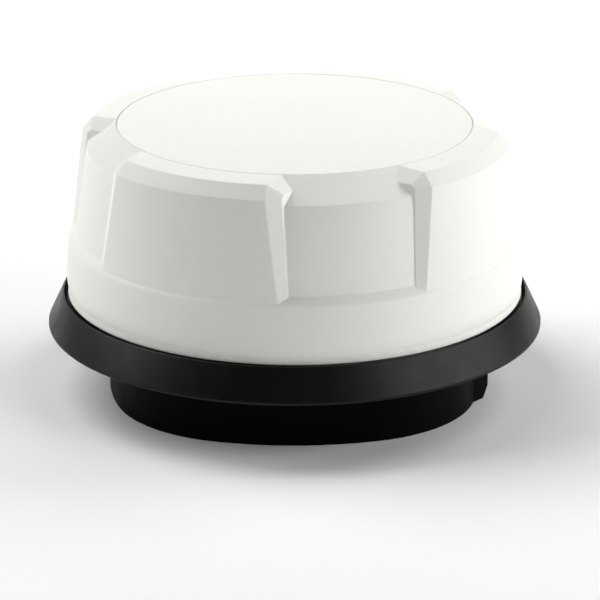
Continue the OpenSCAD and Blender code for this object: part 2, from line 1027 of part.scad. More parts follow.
module board_standoffs() {
    color("goldenrod")
        around(STANDOFFS, standoff_circle_r)
            translate([0, 0, chassis_top_z + 0.6])
                difference() {
                    cylinder(r = 2.9, h = main_board_z - chassis_top_z - 0.6, $fn = 6);
                    translate([0, 0, -1])
                        cylinder(r = 1.25, h = 6);
                }
}

module board_screws() {
    color("gray")
        around(STANDOFFS, standoff_circle_r)
            translate([0, 0, main_top_z + 1.4])
                mirror([0, 0, 1])
                    screw(2.2, 1.4, 1.25, 8);
}

module buzzer() {
    color("#1e1e1e")
        translate([-28, 12, main_top_z])
            difference() {
                cylinder(r = 4.5, h = 3.6);
                translate([0, 0, 3])
                    cylinder(r = 0.9, h = 2);
            }
}

// ---------- Antenna stack ----------

module antenna_posts() {
    color("goldenrod")
        around(POSTS, post_circle_r)
            difference() {
                union() {
                    translate([0, 0, chassis_top_z])
                        cylinder(r = 3.3, h = ground_z - chassis_top_z, $fn = 6);
                    translate([0, 0, chassis_z + 0.6])
                        cylinder(r = 1.5, h = chassis_t);
                }
                translate([0, 0, ground_z - 8])
                    cylinder(r = 1.5, h = 10);
            }
}

module ground_plate() {
    color("silver")
        translate([0, 0, ground_z])
            difference() {
                cylinder(r = ground_r, h = ground_t);
                around(POSTS, post_circle_r)
                    translate([0, 0, -1])
                        cylinder(r = 1.5, h = ground_t + 2);
                translate([0, -38, -1])
                    cylinder(r = 3, h = ground_t + 2);
                around([for (i = [0:11]) i * 30], 53)
                    translate([0, 0, -1])
                        cylinder(r = 1.4, h = ground_t + 2);
                pin_holes();
            }
}

module antenna_board() {
    color("darkgreen")
        translate([0, 0, antenna_board_z])
            difference() {
                cylinder(r = antenna_board_r, h = board_t);
                pin_holes();
                translate([0, -38, -1])
                    cylinder(r = 1.6, h = board_t + 2);
            }
}

module antenna_screws() {
    color("gray")
        around(POSTS, post_circle_r)
            translate([0, 0, antenna_board_z + 1.8])
                mirror([0, 0, 1])
                    screw(2.8, 1.8, 1.5, 7);
}

// Bores that let the feed pins through a plate
module pin_holes() {
    around(SIDES, pin_circle_r)
        translate([0, 0, -1])
            cylinder(r = feed_pin_r, h = 12);
}

module lower_patch() {
    color("wheat")
        translate([0, 0, lower_patch_z])
            difference() {
                rounded_block(lower_patch_w, lower_patch_w, lower_patch_h, 1);
                pin_holes();
            }
}

module upper_patch() {
    color("wheat")
        translate([0, 0, upper_patch_z])
            difference() {
                rounded_block(upper_patch_w, upper_patch_w, upper_patch_h, 1);
                pin_holes();
            }
}

module patch_electrodes() {
    color("silver") {
        translate([0, 0, lower_patch_z + lower_patch_h])
            difference() {
                rounded_block(lower_patch_w - 5, lower_patch_w - 5, plating_t, 0.6);
                pin_holes();
            }
        translate([0, 0, upper_patch_z + upper_patch_h])
            difference() {
                rounded_block(upper_patch_w - 4, upper_patch_w - 4, plating_t, 0.6);
                pin_holes();
            }
    }
}

module feed_pins() {
    pin_top_z = upper_patch_z + upper_patch_h + plating_t + 0.4;
    color("gold")
        around(SIDES, pin_circle_r)
            translate([0, 0, ground_z - 0.8])
                cylinder(r = feed_pin_r, h = pin_top_z - ground_z + 0.8);
}

module lna_shield() {
    color("silver")
        translate([0, 33.5, antenna_board_z + board_t])
            rounded_block(24, 13, 3, 0.8);
}

module coax_sockets() {
    color("gold") {
        translate([0, -38, main_top_z])
            difference() {
                cylinder(r = 2.2, h = 2.6);
                translate([0, 0, 0.8])
                    cylinder(r = 1, h = 3);
            }
        translate([0, -38, antenna_board_z + board_t])
            difference() {
                cylinder(r = 2.6, h = 1.6);
                translate([0, 0, -1])
                    cylinder(r = 1, h = 4);
            }
    }
}

module coax_jumper() {
    color("#444444")
        translate([0, -38, main_top_z + 0.8])
            cylinder(r = 1, h = antenna_board_z + board_t + 1.6 - main_top_z - 0.8);
}

// ---------- Vent ----------

module vent_plug() {
    color("#222222")
        translate([-34, 30, 0])
            difference() {
                union() {
                    translate([0, 0, 0.4])
                        cylinder(r = 3.4, h = floor_t - 0.4);
                    translate([0, 0, floor_t])
                        cylinder(r = 5, h = 1.4);
                }
                cylinder(r = 1.6, h = floor_t + 0.4);
                translate([0, 0, floor_t + 0.4])
                    cylinder(r = 2.6, h = 3);
            }
}

module vent_membrane() {
    color("white")
        translate([-34, 30, floor_t + 0.4])
            cylinder(r = 2.6, h = 0.3);
}

// ---------- The parts ----------

radome();
top_disc();
bumper_ring();
base_housing();
chassis_plate();
radome_seal();
base_gasket();
housing_screws();
pole_insert();
insert_clamp();
clamp_screws();
battery_bay();
battery_pack();
battery_contacts();
battery_leads();
battery_door();
door_seal();
door_hinge_pins();
lock_slider();
lock_guide();
power_button();
button_boot();
tact_switch();
button_board();
status_leds();
light_pipes();
button_flex();
port_cover();
port_cover_pin();
usb_connector();
usb_tongue();
io_board();
power_board();
power_chips();
main_board();
gnss_module();
radio_module();
cellular_module();
bluetooth_module();
tilt_sensor();
board_chips();
board_standoffs();
board_screws();
antenna_posts();
ground_plate();
antenna_board();
antenna_screws();
lower_patch();
upper_patch();
patch_electrodes();
feed_pins();
lna_shield();
coax_jumper();
coax_sockets();
vent_plug();
vent_membrane();
buzzer();
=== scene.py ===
import json
import math

import bmesh
import bpy
import numpy as np
from mathutils import Matrix, Vector


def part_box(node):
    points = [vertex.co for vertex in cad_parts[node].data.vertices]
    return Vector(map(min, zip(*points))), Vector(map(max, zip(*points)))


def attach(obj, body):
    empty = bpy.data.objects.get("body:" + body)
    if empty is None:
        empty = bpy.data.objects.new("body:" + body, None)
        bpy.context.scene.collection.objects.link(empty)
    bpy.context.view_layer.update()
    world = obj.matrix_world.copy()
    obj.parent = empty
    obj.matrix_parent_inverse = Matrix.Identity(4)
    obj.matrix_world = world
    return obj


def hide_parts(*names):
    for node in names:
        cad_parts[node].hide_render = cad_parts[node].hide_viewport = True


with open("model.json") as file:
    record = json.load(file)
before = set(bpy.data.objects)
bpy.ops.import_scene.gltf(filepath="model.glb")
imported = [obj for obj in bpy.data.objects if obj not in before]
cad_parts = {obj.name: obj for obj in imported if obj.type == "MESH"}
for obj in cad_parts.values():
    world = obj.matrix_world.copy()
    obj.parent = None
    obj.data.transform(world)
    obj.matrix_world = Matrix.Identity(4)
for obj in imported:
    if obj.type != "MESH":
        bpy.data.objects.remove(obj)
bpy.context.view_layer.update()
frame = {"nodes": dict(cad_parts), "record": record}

MM = 0.001
AXIS_R = 0.01  # a solid of revolution starts this close to its axis, in millimetres

# Driving places, read from the frame in millimetres
RING_LOW, RING_HIGH = (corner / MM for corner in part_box("bumper_ring"))
DISC_LOW, DISC_HIGH = (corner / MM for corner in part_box("top_disc"))
CHASSIS_PADS_Z = (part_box("chassis_plate")[1] / MM).z
INSERT_LOW, INSERT_HIGH = (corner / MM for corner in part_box("pole_insert"))
RING_R = RING_HIGH.x
RING_Z = RING_LOW.z
RING_TOP_Z = RING_HIGH.z
TOP_Z = DISC_HIGH.z
SEAM_GAP = 0.08
SEAM_R = DISC_HIGH.x + SEAM_GAP


# ---------- Mesh helpers ----------

def new_object(name, mesh, smooth_angle=35):
    """Links a mesh as an object, smooth except where faces meet at more than the angle."""
    piece = bpy.data.objects.new(name, mesh)
    bpy.context.scene.collection.objects.link(piece)
    for polygon in mesh.polygons:
        polygon.use_smooth = True
    mark_sharp(mesh, smooth_angle)
    return piece


def mark_sharp(mesh, degrees):
    """Marks the edges whose faces meet at more than this angle as sharp."""
    work = bmesh.new()
    work.from_mesh(mesh)
    limit = math.radians(degrees)
    for edge in work.edges:
        if len(edge.link_faces) == 2:
            edge.smooth = edge.calc_face_angle(0) < limit
    work.to_mesh(mesh)
    work.free()


def grid_mesh(name, rings, close_ends=True):
    """A closed mesh through rings of points, an array of (ring, point, xyz) in millimetres."""
    rings = np.asarray(rings, float)
    n_rings, n_points = rings.shape[:2]
    vertices = (rings.reshape(-1, 3) * MM).tolist()
    faces = []
    for i in range(n_rings - 1):
        for j in range(n_points):
            k = (j + 1) % n_points
            faces.append((i * n_points + j, i * n_points + k,
                          (i + 1) * n_points + k, (i + 1) * n_points + j))
    if close_ends:
        faces.append(tuple(reversed(range(n_points))))
        faces.append(tuple((n_rings - 1) * n_points + j for j in range(n_points)))
    mesh = bpy.data.meshes.new(name)
    mesh.from_pydata(vertices, [], faces)
    mesh.validate()
    return mesh


def rounded_path(corners, segments=5):
    """An open outline through (a, b, fillet radius) corners, each rounded by an arc."""
    most = 0.49  # share of a side that one fillet may take
    path = []
    for i, (a, b, radius) in enumerate(corners):
        here = Vector((a, b))
        if radius <= 0 or i in (0, len(corners) - 1):
            path.append(here)
            continue
        before = Vector(corners[i - 1][:2])
        after = Vector(corners[i + 1][:2])
        u = (before - here).normalized()
        v = (after - here).normalized()
        half = u.angle(v) / 2
        shorter = min((before - here).length, (after - here).length)
        reach = min(radius / math.tan(half), shorter * most)
        true_radius = reach * math.tan(half)
        centre = here + (u + v).normalized() * (true_radius / math.sin(half))
        start = here + u * reach
        end = here + v * reach
        for k in range(segments + 1):
            t = k / segments
            point = start.lerp(end, t)
            path.append(centre + (point - centre).normalized() * true_radius)
    return path


def spin(path, steps):
    """Rings of points made by turning an (r, z) path about Z."""
    angles = np.linspace(0, 2 * math.pi, steps, endpoint=False)
    return np.array([[(p.x * math.cos(a), p.x * math.sin(a), p.y) for a in angles] for p in path])


def lathe(name, corners, steps):
    """A closed solid of revolution about Z through rounded (r, z, fillet) corners."""
    return new_object(name, grid_mesh(name, spin(rounded_path(corners), steps)))


def lathe_tube(name, corners, steps):
    """A ring-shaped solid of revolution: the rounded outline closes on itself."""
    doubled = [corners[-1], *corners, corners[0]]
    rings = spin(rounded_path(doubled)[1:-1], steps)
    rings = np.concatenate([rings, rings[:1]])
    mesh = grid_mesh(name, rings, close_ends=False)
    work = bmesh.new()
    work.from_mesh(mesh)
    bmesh.ops.remove_doubles(work, verts=work.verts, dist=1e-7)
    bmesh.ops.recalc_face_normals(work, faces=work.faces)
    work.to_mesh(mesh)
    work.free()
    return new_object(name, mesh)


# ---------- Radome ----------

# Profile points of the radome, as (radius, height), from the ring's radius and the top
SEAM = (SEAM_R, TOP_Z)
LUG_TOP = (RING_R - 13.75, TOP_Z - 0.65)
LUG_WALL = (RING_R - 10.2, TOP_Z - 4.45)
LUG_FOOT = (RING_R - 7.2, TOP_Z - 34.4)
RECESS_TOP = (RING_R - 12.8, TOP_Z - 6.75)
RECESS_WALL = (RING_R - 12.35, TOP_Z - 8.1)
RECESS_FOOT = (RING_R - 8.9, TOP_Z - 32.4)
LEDGE = (RING_R - 6.55, TOP_Z - 34.8)
BAND = (RING_R - 5.3, RING_TOP_Z + 4.3)
EDGE = (RING_R - 6.7, RING_TOP_Z)
LUG_HALF_ANGLE = math.radians(22.6)
LUG_CENTRES = [60 + 90 * i for i in range(4)]
LUG_REACH = math.radians(44)  # no part of a lug lies further round from its middle
RADOME_WALL = 2.4
CHASSIS_PAD = 0.6  # height of the chassis plate's pads above the face that the radome stands on
LIP_R = 57.5  # inner radius of the radome's foot

# Widths over which two of the radome's faces blend where they meet
CRISP = 0.13
SHOULDER_BLEND = 0.6
LEDGE_BLEND = 0.5
BELLY_BLEND = 2
EDGE_BLEND = 3

# The facets across a lug's end: the turn and tilt, in degrees, of each one's outward normal
RECESS_FACET = (85, 7.3)
WALL_FACET = (50, 8.4)
TOP_FACET = (84, 57.6)
CORNER_FACET = (50, 40)


def beyond_line(r, z, start, end):
    """Distance of (r, z) to the right of the line from start to end, negative to its left."""
    dr, dz = end[0] - start[0], end[1] - start[1]
    length = math.hypot(dr, dz)
    return ((r - start[0]) * dz - (z - start[1]) * dr) / length


def soft_max(a, b, width):
    """The larger of a and b, or a little more where they are within width of each other."""
    h = np.maximum(width - np.abs(a - b), 0) / width
    return np.maximum(a, b) + h * h * width / 4


def soft_min(a, b, width):
    """The smaller of a and b, or a little less where they are within width of each other."""
    return -soft_max(-a, -b, width)


def core_distance(r, z):
    """Signed distance to the recessed body and the plain band below it."""
    wall = beyond_line(r, z, RECESS_FOOT, RECESS_WALL)
    shoulder = beyond_line(r, z, RECESS_WALL, RECESS_TOP)
    cone = beyond_line(r, z, RECESS_TOP, SEAM)
    upper = soft_max(soft_max(wall, shoulder, SHOULDER_BLEND), cone, CRISP)
    upper = soft_max(upper, z - TOP_Z, CRISP)
    ramp = beyond_line(r, z, LEDGE, RECESS_FOOT)
    band = beyond_line(r, z, BAND, LEDGE)
    belly = beyond_line(r, z, (BAND[0] - 0.1, RING_TOP_Z), BAND)
    edge = beyond_line(r, z, EDGE, (BAND[0] + 0.05, RING_TOP_Z + 1.9))
    lower = soft_max(soft_max(ramp, band, LEDGE_BLEND), belly, BELLY_BLEND)
    lower = soft_max(lower, edge, EDGE_BLEND)
    return soft_min(upper, lower, CRISP)


def facet(x, y, z, point, facing):
    """Distance beyond the flat through this point that faces this turn and tilt, in degrees."""
    turn, tilt = (math.radians(angle) for angle in facing)
    normal = (math.cos(tilt) * math.cos(turn), math.cos(tilt) * math.sin(turn), math.sin(tilt))
    return (x - point[0]) * normal[0] + (y - point[1]) * normal[1] + (z - point[2]) * normal[2]


def lug_distance(r, turn, z):
    """Signed distance to a lug, in its own frame; turn is the angle from its middle."""
    x, y = r * np.cos(turn), r * np.abs(np.sin(turn))
    face = beyond_line(r, z, LUG_TOP, SEAM)
    chamfer = beyond_line(r, z, LUG_WALL, LUG_TOP)
    wall = beyond_line(r, z, LUG_FOOT, LUG_WALL)
    body = soft_max(soft_max(soft_max(face, chamfer, CRISP), wall, CRISP), z - TOP_Z, CRISP)
    sunk = 1.5  # how far the lug goes on, inside the ledge, below its visible foot
    body = soft_max(body, LUG_FOOT[1] - sunk - z, CRISP)
    cos_half, sin_half = math.cos(LUG_HALF_ANGLE), math.sin(LUG_HALF_ANGLE)
    wall_end = (LUG_WALL[0] * cos_half, LUG_WALL[0] * sin_half, LUG_WALL[1])
    top_end = (LUG_TOP[0] * cos_half, LUG_TOP[0] * sin_half, LUG_TOP[1])
    recess_end = (RING_R - 19.7, 28.5, TOP_Z - 6.5)
    ends = facet(x, y, z, recess_end, RECESS_FACET)
    for point, facing in ((wall_end, WALL_FACET), (top_end, TOP_FACET), (top_end, CORNER_FACET)):
        ends = soft_max(ends, facet(x, y, z, point, facing), CRISP)
    return soft_max(body, ends, CRISP)


def radome_distance(r, angle, z):
    """Signed distance to the radome's outside, negative inside."""
    far_away = 50.0
    distance = core_distance(r, z)
    for centre in LUG_CENTRES:
        turn = np.angle(np.exp(1j * (angle - math.radians(centre))))
        lug = np.where(np.abs(turn) < LUG_REACH, lug_distance(r, turn, z), far_away)
        distance = soft_min(distance, lug, CRISP)
    return distance


def lug_end_angles():
    """Angles around the radome, close together across the ends of the lugs."""
    # Degrees from a lug's middle: the end of its quarter, and the two sides of its end
    limit, outer, inner = 45, 31, 21.5
    gap_step, end_step, lug_step = 1.4, 0.24, 1.0
    angles = []
    for centre in LUG_CENTRES:
        turns = [*np.arange(-limit, -outer, gap_step), *np.arange(-outer, -inner, end_step),
                 *np.arange(-inner, inner, lug_step), *np.arange(inner, outer, end_step),
                 *np.arange(outer, limit, gap_step)]
        angles += [math.radians(centre + t) for t in turns]
    return np.array(sorted(a % (2 * math.pi) for a in angles))


def radome_rays():
    """Starts and directions in the (r, z) plane that together sweep the outside once.

    Level rays climb the wall, closest together at the ledge. Above them a fan of rays from
    one point turns over the shoulder to the seam.
    """
    fan_r, fan_z = SEAM_R - 4, TOP_Z - 11.7
    near_ledge, near_foot = LEDGE[1] - 0.6, RECESS_FOOT[1] + 0.5
    shoulder_turn = math.radians(12)
    heights = np.concatenate([
        np.linspace(RING_TOP_Z + 0.02, BAND[1], 12),
        np.linspace(BAND[1], near_ledge, 7)[1:],
        np.linspace(near_ledge, near_foot, 24)[1:],
        np.linspace(near_foot, fan_z, 20)[1:],
    ])
    last = math.atan2(TOP_Z - 0.02 - fan_z, SEAM_R - fan_r)
    turns = np.concatenate([np.linspace(0, shoulder_turn, 6)[1:],
                            np.linspace(shoulder_turn, last, 88)[1:]])
    starts = [(fan_r, h) for h in heights] + [(fan_r, fan_z)] * len(turns)
    directions = [(1.0, 0.0)] * len(heights) + [(math.cos(t), math.sin(t)) for t in turns]
    return np.array(starts), np.array(directions)


def radome_normals(points):
    """Outward directions at points on the outside, from the slope of the distance."""
    step = 0.02
    slopes = []
    for axis in range(3):
        ahead, behind = points.copy(), points.copy()
        ahead[..., axis] += step
        behind[..., axis] -= step
        slopes.append(distance_at(ahead) - distance_at(behind))
    normals = np.stack(slopes, axis=-1)
    return normals / np.linalg.norm(normals, axis=-1, keepdims=True)


def distance_at(points):
    """Signed distance to the radome's outside at points given as x, y, z."""
    x, y, z = np.moveaxis(points, -1, 0)
    return radome_distance(np.hypot(x, y), np.arctan2(y, x), z)


def radome_outside():
    """Rings of points on the radome's outside, found by halving along each ray."""
    starts, directions = radome_rays()
    angles = lug_end_angles()
    always_inside, always_outside, halvings = 1.0, 26.0, 26
    near = np.full((len(starts), len(angles)), always_inside)
    far = np.full_like(near, always_outside)
    for _ in range(halvings):
        middle = (near + far) / 2
        r = starts[:, :1] + directions[:, :1] * middle
        z = starts[:, 1:] + directions[:, 1:] * middle
        inside = radome_distance(r, angles[None, :], z) < 0
        near = np.where(inside, middle, near)
        far = np.where(inside, far, middle)
    r = starts[:, :1] + directions[:, :1] * near
    z = starts[:, 1:] + directions[:, 1:] * near
    return np.stack([r * np.cos(angles), r * np.sin(angles), z], axis=2), angles


def make_radome():
    """The white shell: outside, pocket for the top disc, and a plain inside."""
    outside, angles = radome_outside()

    def ring(radius, height):
        return np.stack([radius * np.cos(angles), radius * np.sin(angles),
                         np.full(len(angles), height)], axis=1)

    inner_r = EDGE[0] - RADOME_WALL
    foot_r = RING_R - 9
    lip_z = CHASSIS_PADS_Z - CHASSIS_PAD
    foot_z = lip_z + 4.5
    pocket_z = DISC_LOW.z
    hub_r = 0.5
    seam_drop = 0.12  # the seam's edge stands this much below the flat top
    inside = [
        ring(hub_r, pocket_z - RADOME_WALL),
        ring(SEAM_R - 1, pocket_z - RADOME_WALL),
        ring(RECESS_TOP[0] - RADOME_WALL, RECESS_TOP[1] - RADOME_WALL),
        ring(RECESS_FOOT[0] - RADOME_WALL, RECESS_FOOT[1]),
        ring(BAND[0] - RADOME_WALL, BAND[1]),
        ring(inner_r, foot_z),
        ring(LIP_R, foot_z),
        ring(LIP_R, lip_z),
        ring(foot_r, lip_z),
        ring(foot_r, RING_TOP_Z),
        ring(EDGE[0] - 0.3, RING_TOP_Z),
    ]
    pocket = [ring(SEAM_R, TOP_Z - seam_drop), ring(SEAM_R, pocket_z), ring(hub_r, pocket_z)]
    rings = np.concatenate([np.array(inside), outside, np.array(pocket)])
    mesh = grid_mesh("radome_shell", rings)
    piece = new_object("radome_shell", mesh, smooth_angle=40)
    normals = np.zeros_like(rings)
    first = len(inside)
    normals[first:first + len(outside)] = radome_normals(outside)
    mesh.normals_split_custom_set_from_vertices(normals.reshape(-1, 3).tolist())
    finish(piece, "receiver", "radome", "radome_white")


def make_top_disc():
    """The flat disc in the top, with the small step round its edge that shows as the seam."""
    step = 0.35
    rim = DISC_HIGH.x
    corners = [
        (AXIS_R, DISC_LOW.z, 0), (rim, DISC_LOW.z, 0.1),
        (rim, TOP_Z - step, 0), (rim - step, TOP_Z - step, 0.05),
        (rim - step, TOP_Z, 0.1), (AXIS_R, TOP_Z, 0)
    ]
    piece = lathe("top_panel", corners, steps=256)
    finish(piece, "receiver", "top_disc", "disc_white")


def finish(piece, body, node, slot):
    """Gives a piece its body and that slot's material, and hides the CAD node it stands for."""
    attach(piece, body)
    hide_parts(node)
    assign(piece, finishes[slot])


def make_bumper_ring():
    """The rubber skirt: a groove beside the radome above, a ribbed hollow below."""
    bore = RING_R - 8.8
    rim = RING_R - 4.5
    hollow_z = RING_Z + 3.2
    groove_z = RING_TOP_Z - 2
    corners = [
        (bore, RING_Z, 0.3), (bore, groove_z, 0.3), (rim - 1.3, groove_z, 0.3),
        (rim - 0.3, RING_TOP_Z, 0.15), (rim + 0.1, RING_TOP_Z - 0.1, 0.3),
        (RING_R, RING_Z + 0.8, 0.3), (RING_R, RING_Z, 0.35),
        (RING_R - 2, RING_Z, 0.4), (RING_R - 3.6, hollow_z, 0.5), (bore + 2, hollow_z, 0.5),
        (bore + 1.6, RING_Z, 0.4),
    ]
    for piece in (lathe_tube("bumper_skirt", corners, steps=288),
                  make_ribs(bore + 1.2, 5.4, hollow_z)):
        finish(piece, "receiver", "bumper_ring", "ring_rubber")


def make_ribs(start_r, length, top_z, count=36, width=1.2, height=2.6):
    """The stiffening ribs across the hollow under the bumper ring, wider at their root."""
    root_width, tip_width, sunk = 1.25 * width, 0.8 * width, 0.3
    work = bmesh.new()
    for i in range(count):
        rib = bmesh.ops.create_cube(work, size=1)["verts"]
        for vertex in rib:
            root = vertex.co.z > 0
            vertex.co.x = start_r + length * (vertex.co.x + 0.5)
            vertex.co.y *= root_width if root else tip_width
            vertex.co.z = top_z + sunk if root else top_z + sunk - height
            vertex.co *= MM
        turn = Matrix.Rotation(i * 2 * math.pi / count, 3, "Z")
        bmesh.ops.rotate(work, verts=rib, matrix=turn)
    low_edges = [e for e in work.edges if max(v.co.z for v in e.verts) < (top_z - 1) * MM]
    bmesh.ops.bevel(work, geom=low_edges, offset=0.25 * MM, segments=3, affect="EDGES",
                    profile=0.5)
    mesh = bpy.data.meshes.new("skirt_ribs")
    work.to_mesh(mesh)
    work.free()
    return new_object("skirt_ribs", mesh)


def make_pole_insert():
    """The brass insert with its hexagonal head and its UNC thread cut as a true helix."""
    low, top = INSERT_LOW.z, INSERT_HIGH.z
    hex_z = top - 4
    outer_r, hex_r = 9.5, INSERT_HIGH.x
    inch, threads_per_inch = 25.4, 11
    crest_r, root_r, depth = 6.75, 7.75, 15
    pitch = inch / threads_per_inch
    rings_per_pitch = 12
    slope, peak = 3.2, 1.3  # the groove's V profile, before it is cut flat at 0 and 1
    lead_in_z, lead_in_r, chamfer = 1.2, 1.3, 0.3
    angles = np.linspace(0, 2 * math.pi, 96, endpoint=False)

    def ring(radius, height):
        radius = np.broadcast_to(radius, angles.shape)
        return np.stack([radius * np.cos(angles), radius * np.sin(angles),
                         np.full(len(angles), height)], axis=1)

    def thread(height):
        phase = (height / pitch - angles / (2 * math.pi)) % 1
        groove = np.clip(peak - np.abs(phase - 0.5) * slope, 0, 1)
        lead_in = max(0, 1 - (height - low) / lead_in_z)
        radius = crest_r + (root_r - crest_r) * groove
        return np.maximum(radius, crest_r + lead_in * lead_in_r)

    heights = np.arange(low + depth, low, -pitch / rings_per_pitch)
    half_side = math.pi / 6
    from_flat = (angles + half_side) % (2 * half_side) - half_side
    hexagon = hex_r * math.cos(half_side) / np.cos(from_flat)
    rings = [ring(AXIS_R, low + depth)]
    rings += [ring(thread(z), z) for z in heights]
    rings += [
        ring(crest_r + lead_in_r, low), ring(outer_r - chamfer, low), ring(outer_r, low + chamfer),
        ring(outer_r, hex_z), ring(hexagon, hex_z), ring(hexagon - 0.01, top), ring(AXIS_R, top)
    ]
    piece = new_object("threaded_insert", grid_mesh("threaded_insert", rings), 40)
    finish(piece, "receiver", "pole_insert", "brass_part")


# ---------- Materials ----------

WHITE = (0.862, 0.862, 0.815)


def shader(name, colour, roughness, metallic=0.0, specular=0.5):
    """A new material with its Principled shader's constants set."""
    material = bpy.data.materials.new(name)
    material.use_nodes = True
    tree = material.node_tree
    tree.nodes.clear()
    output = tree.nodes.new("ShaderNodeOutputMaterial")
    surface = tree.nodes.new("ShaderNodeBsdfPrincipled")
    tree.links.new(surface.outputs["BSDF"], output.inputs["Surface"])
    surface.inputs["Base Color"].default_value = (*colour, 1)
    surface.inputs["Roughness"].default_value = roughness
    surface.inputs["Metallic"].default_value = metallic
    surface.inputs["Specular IOR Level"].default_value = specular
    return material, tree, surface


def noise(tree, scale, detail=3, roughness=0.5, stretch=(1, 1, 1)):
    """A noise texture over the object's own coordinates."""
    place = tree.nodes.new("ShaderNodeTexCoord")
    mapping = tree.nodes.new("ShaderNodeMapping")
    mapping.inputs["Scale"].default_value = stretch
    texture = tree.nodes.new("ShaderNodeTexNoise")
    texture.inputs["Scale"].default_value = scale
    texture.inputs["Detail"].default_value = detail
    texture.inputs["Roughness"].default_value = roughness
    tree.links.new(place.outputs["Object"], mapping.inputs["Vector"])
    tree.links.new(mapping.outputs["Vector"], texture.inputs["Vector"])
    return texture.outputs["Fac"]


def vary(tree, factor, low, high):
    """Maps a noise texture's middle range, where most of it lies, to a range of values."""
    node = tree.nodes.new("ShaderNodeMapRange")
    node.inputs["From Min"].default_value = 0.3
    node.inputs["From Max"].default_value = 0.7
    node.inputs["To Min"].default_value = low
    node.inputs["To Max"].default_value = high
    tree.links.new(factor, node.inputs["Value"])
    return node.outputs["Result"]


def tint(tree, factor, dark, light):
    """Blends two colours by a texture."""
    node = tree.nodes.new("ShaderNodeMix")
    node.data_type = "RGBA"
    node.inputs["A"].default_value = (*dark, 1)
    node.inputs["B"].default_value = (*light, 1)
    tree.links.new(vary(tree, factor, 0, 1), node.inputs["Factor"])
    return node.outputs["Result"]


def bump(tree, surface, height, distance, strength=1.0):
    """Adds relief to the surface."""
    node = tree.nodes.new("ShaderNodeBump")
    node.inputs["Strength"].default_value = strength
    node.inputs["Distance"].default_value = distance
    tree.links.new(height, node.inputs["Height"])
    tree.links.new(node.outputs["Normal"], surface.inputs["Normal"])


def moulded(name, colour, roughness, specular=0.5, grain_mm=0.4, relief_mm=0.02, spread=0.06):
    """Moulded plastic or rubber: fine texture, slow changes of tone and of roughness."""
    material, tree, surface = shader(name, colour, roughness, 0, specular)
    slow = noise(tree, 28, 4)
    dark = [c * (1 - spread) for c in colour]
    light = [min(1, c * (1 + spread)) for c in colour]
    tree.links.new(tint(tree, slow, dark, light), surface.inputs["Base Color"])
    rough = noise(tree, 160, 5, 0.6)
    tree.links.new(vary(tree, rough, roughness - 0.05, min(1, roughness + 0.06)),
                   surface.inputs["Roughness"])
    grain = noise(tree, 1 / (grain_mm * MM), 2, 0.6)
    bump(tree, surface, grain, relief_mm * MM)
    return material


def metal(name, colour, roughness, stretch=(1, 1, 1), scale=900):
    """Bare metal: fine drawn lines or grain, and a little uneven tarnish."""
    material, tree, surface = shader(name, colour, roughness, 1.0)
    slow = noise(tree, 120, 4)
    tree.links.new(tint(tree, slow, [c * 0.86 for c in colour], colour), surface.inputs["Base Color"])
    lines = noise(tree, scale, 3, 0.6, stretch)
    tree.links.new(vary(tree, lines, roughness - 0.08, roughness + 0.1), surface.inputs["Roughness"])
    bump(tree, surface, lines, 0.01 * MM, 0.5)
    return material


